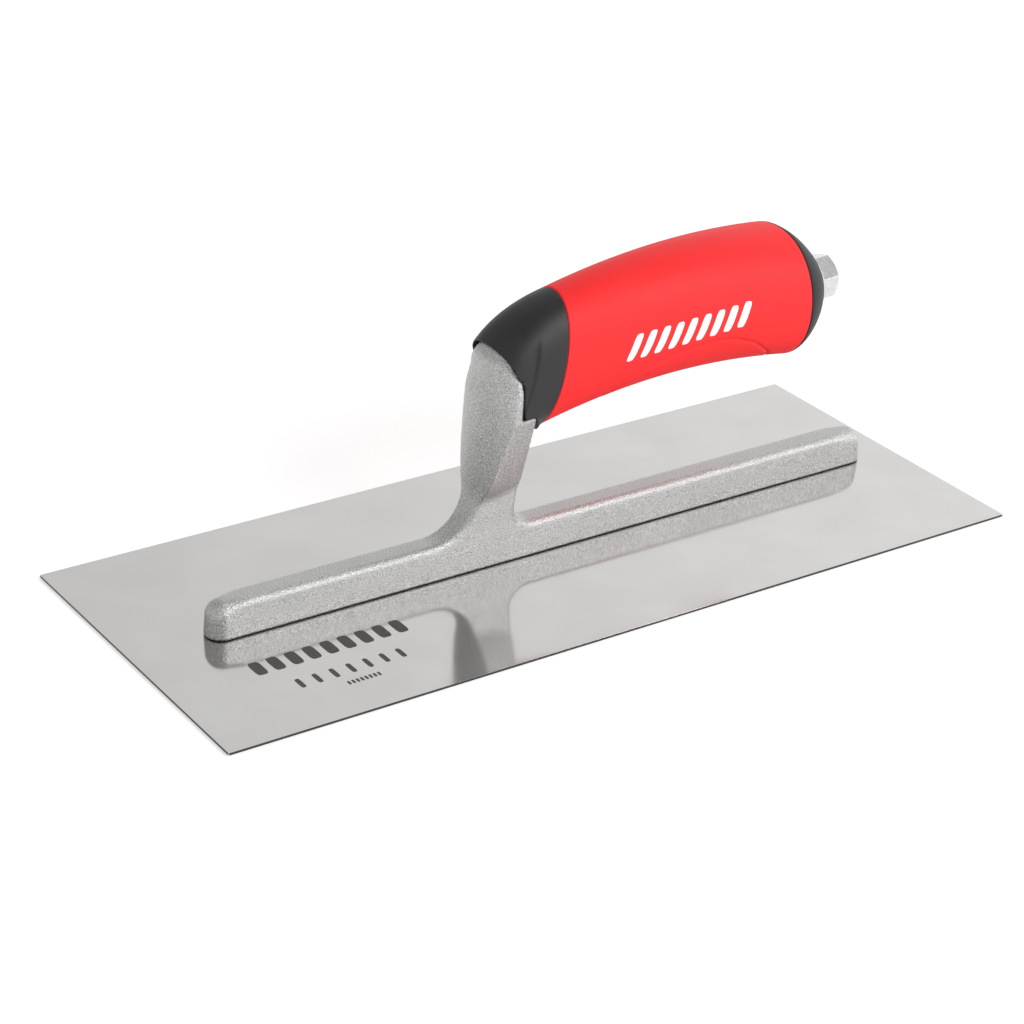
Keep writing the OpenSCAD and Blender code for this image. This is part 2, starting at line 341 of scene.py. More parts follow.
def collar_oval(x, y, z):
    """The collar's outer skin: ovals on planes that turn about PIVOT. Negative inside."""
    dx, dz = x - PIVOT[0], z - PIVOT[1]
    rho = np.hypot(dx, dz)
    angle = np.arctan2(dz, dx)
    angle = np.where(angle < -math.pi / 2, angle + 2 * math.pi, angle)
    low_r = (NOSE_TURN[0] - PIVOT[0]) / np.cos(np.clip(angle, NOSE_ANGLE[-1], NOSE_LAST_ANGLE))
    r = np.where(angle > NOSE_ANGLE[-1], low_r, np.interp(angle, NOSE_ANGLE, NOSE_R))
    t = np.interp(angle, NOSE_ANGLE, NOSE_T)
    middle, half = (r + PIVOT_GAP) / 2, (r - PIVOT_GAP) / 2
    wide = mix(HALF_W[0], HALF_W_NOSE, t)
    power = mix(SQUARENESS, NOSE_SQUARENESS, t)
    e = (np.abs((rho - middle) / half) ** power + np.abs(y / wide) ** power) ** (1 / power)
    return (e - 1) * np.minimum(half, wide)


# ---- materials --------------------------------------------------------------

class Nodes:
    """Short way to build a procedural material."""

    def __init__(self, name):
        self.material = bpy.data.materials.new(name)
        self.material.use_nodes = True
        self.tree = self.material.node_tree
        self.shader = self.tree.nodes["Principled BSDF"]
        self.object_coords = self.tree.nodes.new("ShaderNodeTexCoord").outputs["Object"]

    def link(self, a, b):
        self.tree.links.new(a, b)

    def put(self, **values):
        for name, value in values.items():
            self.shader.inputs[name.replace("_", " ")].default_value = value

    def coords(self, scale):
        node = self.tree.nodes.new("ShaderNodeMapping")
        node.inputs["Scale"].default_value = scale
        self.link(self.object_coords, node.inputs["Vector"])
        return node.outputs["Vector"]

    def noise(self, size_mm, detail=3.0, rough=0.55, stretch=(1, 1, 1)):
        """Noise with features of about size_mm, longer along the stretched axes."""
        node = self.tree.nodes.new("ShaderNodeTexNoise")
        node.inputs["Scale"].default_value = 1.0
        node.inputs["Detail"].default_value = detail
        node.inputs["Roughness"].default_value = rough
        self.link(self.coords([1 / (size_mm * MM * k) for k in stretch]), node.inputs["Vector"])
        return node.outputs["Fac"]

    def cells(self, size_mm):
        node = self.tree.nodes.new("ShaderNodeTexVoronoi")
        node.inputs["Scale"].default_value = 1.0
        self.link(self.coords([1 / (size_mm * MM)] * 3), node.inputs["Vector"])
        return node.outputs["Distance"]

    def span(self, value, low, high, out_low=0.0, out_high=1.0):
        node = self.tree.nodes.new("ShaderNodeMapRange")
        node.inputs["From Min"].default_value = low
        node.inputs["From Max"].default_value = high
        node.inputs["To Min"].default_value = out_low
        node.inputs["To Max"].default_value = out_high
        self.link(value, node.inputs["Value"])
        return node.outputs["Result"]

    def math(self, kind, a, b):
        node = self.tree.nodes.new("ShaderNodeMath")
        node.operation = kind
        for socket, v in zip(node.inputs, (a, b)):
            if isinstance(v, (int, float)):
                socket.default_value = v
            else:
                self.link(v, socket)
        return node.outputs[0]

    def beyond(self, half_x, half_y):
        """1 outside the rectangle of the object's X and Y, 0 inside."""
        fade = 0.06
        split = self.tree.nodes.new("ShaderNodeSeparateXYZ")
        self.link(self.object_coords, split.inputs[0])
        out = []
        for axis, half in (("X", half_x), ("Y", half_y)):
            size = self.math("ABSOLUTE", split.outputs[axis], 0.0)
            out.append(self.span(size, half * MM, (half + fade) * MM))
        return self.math("MAXIMUM", *out)

    def blend(self, factor, a, b):
        node = self.tree.nodes.new("ShaderNodeMix")
        node.data_type = "RGBA"
        self.link(factor, node.inputs["Factor"])
        sockets = [s for s in node.inputs if s.type == "RGBA"]
        for socket, v in zip(sockets, (a, b)):
            if isinstance(v, tuple):
                socket.default_value = (*v, 1)
            else:
                self.link(v, socket)
        return [s for s in node.outputs if s.type == "RGBA"][0]

    def bump(self, height, strength, depth_mm, under=None):
        node = self.tree.nodes.new("ShaderNodeBump")
        node.inputs["Strength"].default_value = strength
        node.inputs["Distance"].default_value = depth_mm * MM
        self.link(height, node.inputs["Height"])
        if under is not None:
            self.link(under, node.inputs["Normal"])
        return node.outputs["Normal"]

    def finish(self, color=None, roughness=None, normal=None):
        for name, value in (("Base Color", color), ("Roughness", roughness), ("Normal", normal)):
            if value is not None:
                self.link(value, self.shader.inputs[name])
        return self.material


def blade_material():
    n = Nodes("blade_steel")
    n.put(Metallic=1.0)
    grind = n.noise(0.25, 4, 0.6, stretch=(160, 1, 1))
    cloud = n.noise(28, 3, 0.5)
    smear = n.noise(7, 3, 0.6, stretch=(3, 1, 1))
    color = n.blend(n.span(cloud, 0.35, 0.7), (0.56, 0.552, 0.542), (0.595, 0.59, 0.582))
    # Painted shade: the blade's side faces and edge bevels are coloured near black, for the dark
    # lines its edges show in this light
    cut = n.beyond(BLADE_HALF[0] - BLADE_EDGE_SHADE_W, BLADE_HALF[1] - BLADE_EDGE_SHADE_W)
    color = n.blend(cut, color, (0.07, 0.068, 0.066))
    smears = n.span(smear, 0.3, 0.75, 0.075, 0.12)
    rough = n.math("ADD", smears, n.span(grind, 0.3, 0.7, -0.012, 0.02))
    return n.finish(color, rough, n.bump(grind, 0.05, 0.01))


def casting_material():
    n = Nodes("shot_blasted_aluminium")
    n.put(Metallic=1.0)
    grain = n.cells(0.5)
    fine = n.noise(0.3, 2, 0.6)
    broad = n.noise(9, 3, 0.5)
    color = n.blend(n.span(fine, 0.36, 0.64), (0.29, 0.29, 0.287), (0.76, 0.76, 0.75))
    color = n.blend(n.span(broad, 0.35, 0.7, 0.0, 0.3), color, (0.46, 0.46, 0.455))
    rough = n.span(fine, 0.25, 0.75, 0.38, 0.56)
    normal = n.bump(grain, 0.7, 0.16, n.bump(fine, 0.7, 0.12))
    return n.finish(color, rough, normal)


def plastic_material(name, color, sheen_low, sheen_high, specular=0.5):
    n = Nodes(name)
    n.put(Metallic=0.0, Specular_IOR_Level=specular)
    spark = n.noise(0.35, 2, 0.6)
    broad = n.noise(11, 3, 0.5)
    lighter = tuple(c * 1.25 + 0.002 for c in color)
    tint = n.blend(n.span(broad, 0.3, 0.7), color, lighter)
    rough = n.span(broad, 0.3, 0.7, sheen_low, sheen_high)
    return n.finish(tint, rough, n.bump(spark, 0.18, 0.04))


def rubber_material():
    n = Nodes("red_rubber")
    n.put(Metallic=0.0, Specular_IOR_Level=0.35)
    spark = n.cells(0.42)
    broad = n.noise(14, 3, 0.5)
    tint = n.blend(n.span(broad, 0.3, 0.7), (0.95, 0.016, 0.019), (0.98, 0.021, 0.024))
    rough = n.span(broad, 0.3, 0.7, 0.52, 0.6)
    return n.finish(tint, rough, n.bump(spark, 0.12, 0.05))


def bright_material(name, dark, light, low, high):
    n = Nodes(name)
    n.put(Metallic=1.0)
    turned = n.noise(0.25, 3, 0.6, stretch=(1, 5, 5))
    patches = n.noise(2.2, 3, 0.6)
    color = n.blend(n.span(patches, 0.3, 0.7), dark, light)
    return n.finish(color, n.span(turned, 0.3, 0.7, low, high), n.bump(turned, 0.05, 0.02))


def ink_material(name, color):
    n = Nodes(name)
    n.put(Metallic=0.0)
    specks = n.noise(0.4, 3, 0.7)
    tint = n.blend(n.span(specks, 0.3, 0.75), color, tuple(min(1, c * 1.2 + 0.01) for c in color))
    return n.finish(tint, n.span(specks, 0.3, 0.7, 0.45, 0.6), n.bump(specks, 0.1, 0.02))


# ---- casting ----------------------------------------------------------------

# Distances from the bar's end between which its edges become rounder
BAR_END_BLEND = (12, 3)
SLAB_EDGE_R = 0.5
BODY_EDGE_R = 0.6
RIM_EDGE_R = 0.45
RIM_TOP_R = 0.4
FOOT_EDGE_R = 0.3
TONGUE_EDGE_R = 0.3
# How far the rim's step lies below RIM_Z, how far the tongue starts below it, and how far the
# body's foot reaches down into the near-black strip of painted shade under the bar
RIM_DROP = 0.2
TONGUE_ROOT = 0.9
FOOT_DROP = 0.1
# The back's width line is reached this far before the back face
FLAT_BACK = 3
# Pairs of heights between which one shape of the casting turns into the next
BAR_TO_SHANK_Z = (12, 24)
ROUND_TO_SHARP_Z = (14, 30)
SHARP_TO_RIM_Z = (44, 51)
FRONT_BOW_Z = (12, 26)
# How far the tongue sits behind the shank's front and inside the collar's skin
TONGUE_RECESS, TONGUE_RECESS_Z = 1.1, (55, 63)
TONGUE_INSET, TONGUE_INSET_Z = (-1.6, 1.4), (56, 67)
# The front leans back by LEAN times the square of the height above LEAN_START_Z
LEAN_START_Z = 31
LEAN = 0.0015


def flare(start, end, width, power):
    """Half-width of the shank by height, widening from the bar to the rim."""
    heights = np.linspace(10, 72, 125)
    share = np.clip((heights - start) / (end - start), 0, 1) ** power
    return smooth_curve(list(zip(heights, mix(SHANK_ROOT_W, width, share))))


crease_w = flare(*CREASE_FLARE)
back_w = flare(*BACK_FLARE)


def shank_front(y, z):
    """X of the shank's front face: gently bowed in plan, leaning back with height."""
    bow = SHANK_FRONT_R - np.sqrt(np.maximum(SHANK_FRONT_R ** 2 - y * y, 1))
    lean = LEAN * np.maximum(z - LEAN_START_Z, 0) ** 2
    return SHANK_FRONT_X + lean + bow * smoothstep(*FRONT_BOW_Z, z)


def arch_field(y, z):
    """The tongue's outline seen from the front: negative inside."""
    up = np.maximum(z - (TONGUE_TOP_Z - ARCH_H), 0) / ARCH_H
    r = (np.abs(y / ARCH_HALF_W) ** ARCH_POWER + up ** ARCH_POWER) ** (1 / ARCH_POWER)
    return (r - 1) * ARCH_HALF_W


def casting_field(x, y, z):
    """The bar, the shank and the tongue in one: negative inside."""
    front = shank_front(y, z) - x
    back = x - SHANK_BACK_X
    slab = round_max(front, back, SLAB_EDGE_R)
    fillet = np.where(x < SHANK_MIDDLE_X, FRONT_FILLET_R, BACK_FILLET_R)
    profile = round_min(slab, z - BAR_TOP, fillet)
    profile = round_max(profile, z - (RIM_Z - RIM_DROP), RIM_TOP_R)
    depth = np.clip((x - shank_front(y, z)) / (SHANK_BACK_X - SHANK_FRONT_X - FLAT_BACK), 0, 1)
    shank_w = mix(crease_w(z), back_w(z), depth)
    bar_w = BAR_HALF_W - BAR_DRAFT * np.clip(z - BLADE_TOP, 0, BAR_TOP)
    half_w = mix(bar_w, shank_w, smoothstep(*BAR_TO_SHANK_Z, z))
    along = np.maximum(np.abs(x - BAR_MIDDLE) - (BAR_HALF_L - BAR_HALF_W), 0)
    side = np.hypot(along, y) - half_w
    far, near = (BAR_HALF_L - d for d in BAR_END_BLEND)
    end = smoothstep(far, near, np.abs(x - BAR_MIDDLE))
    edge_r = mix(mix(BAR_EDGE_R, BAR_END_R, end), BODY_EDGE_R, smoothstep(*ROUND_TO_SHARP_Z, z))
    edge_r = mix(edge_r, RIM_EDGE_R, smoothstep(*SHARP_TO_RIM_Z, z))
    body = round_max(profile, side, edge_r)
    body = round_max(body, SHADE_STRIP_TOP - FOOT_DROP - z, FOOT_EDGE_R)
    recess = TONGUE_RECESS * smoothstep(*TONGUE_RECESS_Z, z)
    tongue = round_max(front + recess, x - TONGUE_BACK_X, TONGUE_EDGE_R)
    tongue = round_max(tongue, arch_field(y, z), TONGUE_EDGE_R)
    inset = mix(*TONGUE_INSET, smoothstep(*TONGUE_INSET_Z, z))
    tongue = round_max(tongue, collar_oval(x, y, z) + inset, TONGUE_EDGE_R)
    tongue = np.maximum(tongue, RIM_Z - TONGUE_ROOT - z)
    return np.minimum(body, tongue)


def build_casting(material):
    """The casting's mesh, on a grid that is a little larger than the casting."""
    low, high = (-116.3, -14.4, 0.2), (127.3, 14.4, 72.2)
    points, faces, normals = implicit_surface(casting_field, low, high, 0.6)
    make_piece("casting_body", points, faces, material, ["mounting"], normals=normals)


def build_shade_strip(material):
    """A near-black strip of painted shade where the bar sits on the blade, for the shadow gap
    there.
    """
    half_w = BAR_HALF_W - SHADE_STRIP_INSET
    straight = BAR_HALF_L - BAR_HALF_W
    angles = circle(96)
    x = BAR_MIDDLE + half_w * np.cos(angles) + straight * np.sign(np.cos(angles))
    y = half_w * np.sin(angles)
    points = np.concatenate([np.stack([x, y, x * 0 + z], 1) for z in (BLADE_TOP, SHADE_STRIP_TOP)])
    n = len(angles)
    faces = ring_faces(2, n) + [tuple(range(n - 1, -1, -1)), tuple(range(n, 2 * n))]
    make_piece("bar_shade_strip", points, faces, material, smooth_angle=40)


# ---- blade, rivets and printed marks ----------------------------------------

def rounded_rectangle(half_x, half_y, r, steps=6):
    points = []
    for k, (sx, sy) in enumerate(((1, 1), (-1, 1), (-1, -1), (1, -1))):
        for i in range(steps + 1):
            a = math.radians(90 * (k + i / steps))
            points.append((sx * (half_x - r) + r * math.cos(a),
                           sy * (half_y - r) + r * math.sin(a)))
    return points


def level_ring(x0, r, z):
    """A ring round the middle of a rivet at x0."""
    return [(x0 + r * math.cos(a), r * math.sin(a), z) for a in circle(RIVET_CORNERS)]


def build_blade(material):
    """The plate, with broken edges and a countersunk hole for each rivet."""
    points, faces, loops = [], [], []
    for z, inset in ((0, BLADE_BEVEL), (BLADE_BEVEL, 0), (BLADE_TOP - BLADE_BEVEL, 0),
                     (BLADE_TOP, BLADE_BEVEL)):
        outline = rounded_rectangle(BLADE_HALF[0] - inset, BLADE_HALF[1] - inset, BLADE_CORNER_R)
        loops.append(list(range(len(points), len(points) + len(outline))))
        points += [(x, y, z) for x, y in outline]
    for a, b in zip(loops[:-1], loops[1:]):
        faces += [(a[i - 1], a[i], b[i], b[i - 1]) for i in range(len(a))]
    holes = {0: [], 1: []}
    for x0 in RIVETS_X:
        for end, (z, r) in enumerate(((0, RIVET_HEAD_R), (BLADE_TOP, RIVET_R))):
            holes[end].append(list(range(len(points), len(points) + RIVET_CORNERS)))
            points += level_ring(x0, r + RIVET_GAP, z)
        a, b = holes[0][-1], holes[1][-1]
        faces += [(a[i], a[i - 1], b[i - 1], b[i]) for i in range(RIVET_CORNERS)]
    for end, outer in ((0, loops[0]), (1, loops[-1])):
        rings = [outer] + holes[end]
        order = [i for ring in rings for i in ring]
        cuts = tessellate_polygon([[Vector(points[i]) for i in ring] for ring in rings])
        for cut in cuts:
            a, b, c = (order[i] for i in cut)
            pa, pb, pc = (np.array(points[i]) for i in (a, b, c))
            up = np.cross(pb - pa, pc - pa)[2] > 0
            faces.append((a, b, c) if up == (end == 1) else (a, c, b))
    make_piece("blade_plate", points, faces, material, ["blade"], smooth_angle=20)


def build_rivets(material):
    """Flush rivets: a ground head that is a hair inside the blade's face, and its stem."""
    profile = [(0.02, RIVET_HEAD_R * 0.6), (0.02, RIVET_HEAD_R - 0.12), (0.08, RIVET_HEAD_R),
               (BLADE_TOP, RIVET_R), (RIVET_TOP - 0.3, RIVET_R), (RIVET_TOP, RIVET_R - 0.3)]
    n = RIVET_CORNERS
    points, faces = [], []
    for x0 in RIVETS_X:
        start = len(points)
        for z, r in profile:
            points += level_ring(x0, r, z)
        faces += [tuple(i + start for i in f) for f in ring_faces(len(profile), n)]
        centre = len(points)
        points.append((x0, 0, RIVET_SINK))
        faces += [(start + (i + 1) % n, start + i, centre) for i in range(n)]
        faces.append(tuple(centre - n + i for i in range(n)))
    make_piece("flush_rivets", points, faces, material, ["blade_rivets"],
               smooth_angle=30)


def patch_grid(width, height, n, lean=0.0):
    """Offsets of a soft-cornered bar that may lean, as an n by n grid."""
    pinch = 0.14
    u, v = np.meshgrid(np.linspace(-1, 1, n), np.linspace(-1, 1, n), indexing="ij")
    x = width / 2 * u * (1 - pinch * v ** 6) + lean * v
    y = height / 2 * v * (1 - pinch * u ** 6)
    return x, y


def make_marks(name, patches, material):
    """Thin printed shapes, each given as an upper and a lower grid of points."""
    points, faces = [], []
    for upper, lower in patches:
        n = upper.shape[0]
        top = len(points)
        low = top + n * n
        points += [*upper.reshape(-1, 3), *lower.reshape(-1, 3)]
        for i in range(n - 1):
            for j in range(n - 1):
                a, b, c, d = i * n + j, (i + 1) * n + j, (i + 1) * n + j + 1, i * n + j + 1
                faces += [(top + a, top + b, top + c, top + d),
                          (low + d, low + c, low + b, low + a)]
        rim = ([i * n for i in range(n)] + [(n - 1) * n + j for j in range(1, n)]
               + [i * n + n - 1 for i in range(n - 2, -1, -1)] + [j for j in range(n - 2, 0, -1)])
        faces += [(top + rim[k], top + rim[k - 1], low + rim[k - 1], low + rim[k])
                  for k in range(len(rim))]
    make_piece(name, points, faces, material, smooth_angle=40)


def build_blade_marks(material):
    """Rows of plain bars and dots printed on the blade, beside the bar."""
    patches = []
    for start, end, count, height, width in BLADE_MARKS:
        dx, dy = patch_grid(width, height, 7)
        for i in range(count):
            x0, y0 = mix(np.array(start), np.array(end), i / (count - 1))
            patches.append([np.stack([x0 + dx, y0 + dy, dx * 0 + z], -1)
                            for z in (BLADE_TOP + MARK_RISE, BLADE_TOP - MARK_DEPTH)])
    make_marks("blade_marks", patches, material)


# ---- collar -----------------------------------------------------------------

CREASE_LINE = [(-9.6, 77.0), (-11.5, 71.0), (-14.1, 61.6), (-17.0, 54.0), (-18.2, 51.0)]
crease_x = smooth_curve([(z, x) for x, z in CREASE_LINE[::-1]], 60)
CREASE_DEPTH = 0.65
CREASE_REACH = 3.0
COLLAR_EDGE_R = 0.35
SEAT_EDGE_R = 0.45


def collar_field(x, y, z):
    """The collar, with a soft step down each side and a seat for the tongue."""
    oval = collar_oval(x, y, z)
    ahead = crease_x(z) - x
    # The step fades out at the collar's top, at its middle plane and at its foot.
    fade = smoothstep(76, 69, z) * smoothstep(4, 9, np.abs(y)) * smoothstep(44, 50, z)
    dip = np.exp(-np.maximum(ahead, 0) / CREASE_REACH) * smoothstep(-0.2, 1.3, ahead)
    oval = oval + CREASE_DEPTH * dip * fade
    joint = unit(GRIP_TOP0 - GRIP_BOTTOM0)
    behind = (x - PIVOT[0]) * joint[1] - (z - PIVOT[1]) * joint[0]
    body = round_max(oval, behind, COLLAR_EDGE_R)
    low = unit(np.array([SHANK_BACK_X, RIM_Z - 1.0]) - PIVOT)
    above = low[1] * (x - PIVOT[0]) - low[0] * (z - PIVOT[1])
    under = np.maximum(z - RIM_Z, above)
    body = round_max(body, -under, COLLAR_EDGE_R)
    seat = np.maximum(arch_field(y, z) - SEAT_GAP, x - (TONGUE_BACK_X + SEAT_GAP))
    return round_max(body, -seat, SEAT_EDGE_R)


def build_collar(material):
    """The collar's mesh, on a grid that is a little larger than the collar."""
    low, high = (-29, -15, 40), (3, 15, 87)
    points, faces, normals = implicit_surface(collar_field, low, high, 0.4)
    make_piece("collar", points, faces, material, ["front_collar"],
               normals=normals)


# ---- grip -------------------------------------------------------------------

# The finger pad's outline: place along the grip, and angle up from the grip's underside
PAD_LINE = [(0.21, 0.0), (0.24, 0.6), (0.3, 0.95), (0.4, 1.11), (0.5, 1.2), (0.61, 1.255),
            (0.7, 1.215), (0.8, 1.05), (0.88, 0.75), (0.93, 0.35), (0.94, 0.0)]
PAD_GROOVE_DEPTH, PAD_GROOVE_W = 0.55, 0.42
PAD_RISE, PAD_RISE_W = 0.06, 1.2
# The first and last printed bar's middle: place along the grip, and angle from its top
GRIP_MARKS = np.array([(0.275, -1.62), (0.715, -1.54)])
GRIP_MARK_BOW = 0.045
GRIP_MARK_COUNT = 9
GRIP_MARK_SIZE = (0.031, 0.36)
GRIP_MARK_LEAN = 0.012
GRIP_MARK_LAYERS = (0.05, -0.1)
GRIP_RINGS = 200
GRIP_CORNERS = 320


def pad_offset(points, s, beta):
    """How far the groove round the finger pad moves the surface, outward positive."""
    line_s = np.linspace(PAD_LINE[0][0], PAD_LINE[-1][0], 160)
    width = smooth_curve(PAD_LINE, 60)(line_s)
    line = np.concatenate([grip_ring(a, np.array([math.pi - b]))
                           for a, b in zip(line_s, width)])
    # The line lies on the far side, so points of the near side are mirrored to it.
    mirrored = points * [1, -1, 1]
    p = np.where((points[:, 1] < 0)[:, None], mirrored, points)
    near = np.full(len(p), 1e9)
    for a, b in zip(line[:-1], line[1:]):
        d = b - a
        t = np.clip((p - a) @ d / (d @ d), 0, 1)
        near = np.minimum(near, np.linalg.norm(p - a - t[:, None] * d, axis=1))
    inside = beta < np.interp(s, line_s, width, left=-1, right=-1)
    groove = -PAD_GROOVE_DEPTH * np.exp(-(near / PAD_GROOVE_W) ** 2)
    raised = np.where(inside, PAD_RISE * smoothstep(0, PAD_RISE_W, near), 0)
    return groove + raised


def build_grip(material):
    """The soft sleeve: rounded rims, an outer skin with the pad's groove, and a bore."""
    a = circle(GRIP_CORNERS)
    length = GRIP_END[0] - GRIP_START[0]
    turns = np.radians([0, 25, 50, 70, 90])
    stations = [(EDGE_R * (1 - math.cos(q)) / length, EDGE_R * (1 - math.sin(q))) for q in turns]
    body = [(s, 0.0) for s in np.linspace(stations[-1][0], 1 - stations[-1][0], GRIP_RINGS)][1:-1]
    stations = stations + body + [(1 - s, w) for s, w in stations[::-1]]
    rings = [grip_ring(s, a, w) for s, w in stations]
    points = np.concatenate(rings)
    s_all = np.repeat([s for s, w in stations], GRIP_CORNERS)
    beta = np.abs(math.pi - np.tile(a, len(stations)))
    # Outward, near enough: across each ring's tangent, in the plane of Y and Z
    tangent = np.concatenate([np.roll(r, -1, 0) - np.roll(r, 1, 0) for r in rings])
    outward = np.stack([tangent[:, 2] * 0, tangent[:, 2], -tangent[:, 1]], 1)
    outward /= np.maximum(np.linalg.norm(outward, axis=1, keepdims=True), 1e-9)
    centre = np.repeat([r.mean(0) for r in rings], GRIP_CORNERS, axis=0)
    outward *= np.sign(((points - centre) * outward).sum(1))[:, None]
    points = points + outward * pad_offset(points, s_all, beta)[:, None]
    inner = [grip_ring(s, a, SLEEVE_T) for s in np.linspace(1, 0, 12)]
    points = np.concatenate([points, *inner])
    faces = ring_faces(len(stations) + len(inner), GRIP_CORNERS, wrap_rows=True)
    make_piece("soft_grip", points, faces, material, ["grip_sleeve"])


def build_grip_marks(material):
    """A row of plain leaning bars printed on the near side of the grip."""
    patches = []
    for i in range(GRIP_MARK_COUNT):
        t = i / (GRIP_MARK_COUNT - 1)
        s0, a0 = mix(GRIP_MARKS[0], GRIP_MARKS[1], t)
        a0 -= GRIP_MARK_BOW * 4 * t * (1 - t)
        ds, da = patch_grid(*GRIP_MARK_SIZE, 9, GRIP_MARK_LEAN)
        s_all, a_all = (s0 + ds).ravel(), (a0 + da).ravel()
        skin = np.array([grip_ring(s, np.array([a]))[0] for s, a in zip(s_all, a_all)])
        far = np.array([grip_ring(s, np.array([a]), 1.0)[0] for s, a in zip(s_all, a_all)])
        out = (skin - far) / np.linalg.norm(skin - far, axis=1, keepdims=True)
        patches.append([(skin + out * k).reshape(*ds.shape, 3) for k in GRIP_MARK_LAYERS])
    make_marks("grip_marks", patches, material)


# ---- rear cap ---------------------------------------------------------------

ROD_DIR = np.array([math.cos(ROD_TILT), 0, math.sin(ROD_TILT)])
ROD_UP = np.array([-math.sin(ROD_TILT), 0, math.cos(ROD_TILT)])
ROD_ZERO = np.array([ROD_EXIT[0], 0, ROD_EXIT[1]])


def rod_circle(along, radius, angles):
    """Points round the rod at a distance along it from the cap's flat."""
    side = np.array([0, 1, 0])
    radius = np.broadcast_to(radius, angles.shape)
    along = np.broadcast_to(along, angles.shape)
    return (ROD_ZERO + along[:, None] * ROD_DIR + (radius * np.cos(angles))[:, None] * ROD_UP
            + (radius * np.sin(angles))[:, None] * side)


def cap_point(f, a, inset=0.0):
    """A point of the cap's skin, for f from 0 at the grip to 1 at the pole."""
    top = np.array([GRIP_END[0], top_z(GRIP_END[0])])
    bottom = np.array([GRIP_END[1], bottom_z(GRIP_END[1])])
    middle = (top + bottom) / 2
    k = (1 - f ** CAP_ROUND) ** (1 / CAP_ROUND)
    k = np.maximum(k - inset / HALF_W[2], 0)
    shift = (np.array(CAP_POLE) - middle) * f
    c = signed_pow(np.cos(a), 2 / SQUARENESS)
    s = signed_pow(np.sin(a), 2 / SQUARENESS)
    xz = middle + shift + (top - bottom) / 2 * c * k
    return np.array([xz[0], HALF_W[2] * k * s, xz[1]])


def build_cap(material):
    """The domed cap, with a flat for the washer and a bore for the rod."""
    angles = circle(160)
    # Where the dome meets the flat's plane at each angle, by bisection
    limit = []
    for a in angles:
        low, high = 0.0, 0.999
        for _ in range(30):
            f = (low + high) / 2
            if (cap_point(f, a) - ROD_ZERO) @ ROD_DIR > 0:
                high = f
            else:
                low = f
        limit.append(low)
    limit = np.array(limit)
    rings = []
    for q in np.radians([0, 30, 60, 90]):
        f = EDGE_R * (1 - math.cos(q)) / HALF_W[2]
        rings.append(np.array([cap_point(f, a, EDGE_R * (1 - math.sin(q))) for a in angles]))
    start = EDGE_R / HALF_W[2]
    for j in range(1, 40):
        share = j / 39 * 0.985
        rings.append(np.array([cap_point(start + (m - start) * share, a)
                               for a, m in zip(angles, limit)]))
    edge = rings[-1]
    flat = np.array([cap_point(m, a) for a, m in zip(angles, limit)])
    # A soft edge between the dome and the flat
    rings.append(flat * 0.55 + edge * 0.45 - 0.02 * ROD_DIR)
    rim = flat - ROD_ZERO
    rings.append(ROD_ZERO + rim * 0.965)
    rings.append(ROD_ZERO + rim * 0.8)
    polar = np.arctan2(rim[:, 1], rim @ ROD_UP)
    rings.append(rod_circle(0.0, ROD_HOLE_R + 0.5, polar))
    rings.append(rod_circle(-0.5, ROD_HOLE_R, polar))
    rings.append(rod_circle(-CAP_BORE_DEPTH, ROD_HOLE_R, polar))
    points = np.concatenate(rings)
    faces = ring_faces(len(rings), len(angles), wrap_rows=True)
    make_piece("end_cap", points, faces, material, ["rear_cap"], smooth_angle=50)


# ---- rod, washer and nut ----------------------------------------------------

def build_washer(material):
    angles = circle(96)
    hole, r, t, e = ROD_HOLE_R, WASHER_R, WASHER_T, WASHER_EDGE_R
    rings = [(0, hole), (0, r - e), (e * 0.3, r - e * 0.3), (e, r), (t - e, r),
             (t - e * 0.3, r - e * 0.3), (t, r - e), (t, hole + 0.15), (t - 0.15, hole)]
    points = np.concatenate([rod_circle(x, q, angles) for x, q in rings])
    faces = ring_faces(len(rings), len(angles), wrap_rows=True)
    make_piece("clamp_washer", points, faces, material, ["washer"], smooth_angle=40)


def build_nut(material):
    """A hexagon with slightly soft corners, chamfered at both ends."""
    angles = circle(192)
    from_face = (angles + NUT_TURN) % (math.pi / 3) - math.pi / 6
    hex_r = NUT_AF / 2 / np.cos(from_face)
    corner = NUT_AF / 2 / math.cos(math.pi / 6) + 0.03
    sharpness = 24
    # A soft minimum of the hexagon and a circle through its corners
    hex_r = -np.logaddexp(-hex_r * sharpness, -corner * sharpness) / sharpness
    near, far = WASHER_T, WASHER_T + NUT_T
    flat_r = NUT_AF / 2 - NUT_FACE_INSET
    drop = (hex_r - flat_r) * NUT_CHAMFER
    bore = ROD_R + 0.05
    rows = [(near, bore + 0.5), (near, flat_r), (near + drop, hex_r), (far - drop, hex_r),
            (far, flat_r), (far, bore + 0.55), (far - 0.5, bore), (near + 0.5, bore)]
    points = np.concatenate([rod_circle(x, r, angles) for x, r in rows])
    faces = ring_faces(len(rows), len(angles), wrap_rows=True)
    make_piece("end_nut", points, faces, material, ["hex_nut"], smooth_angle=28)


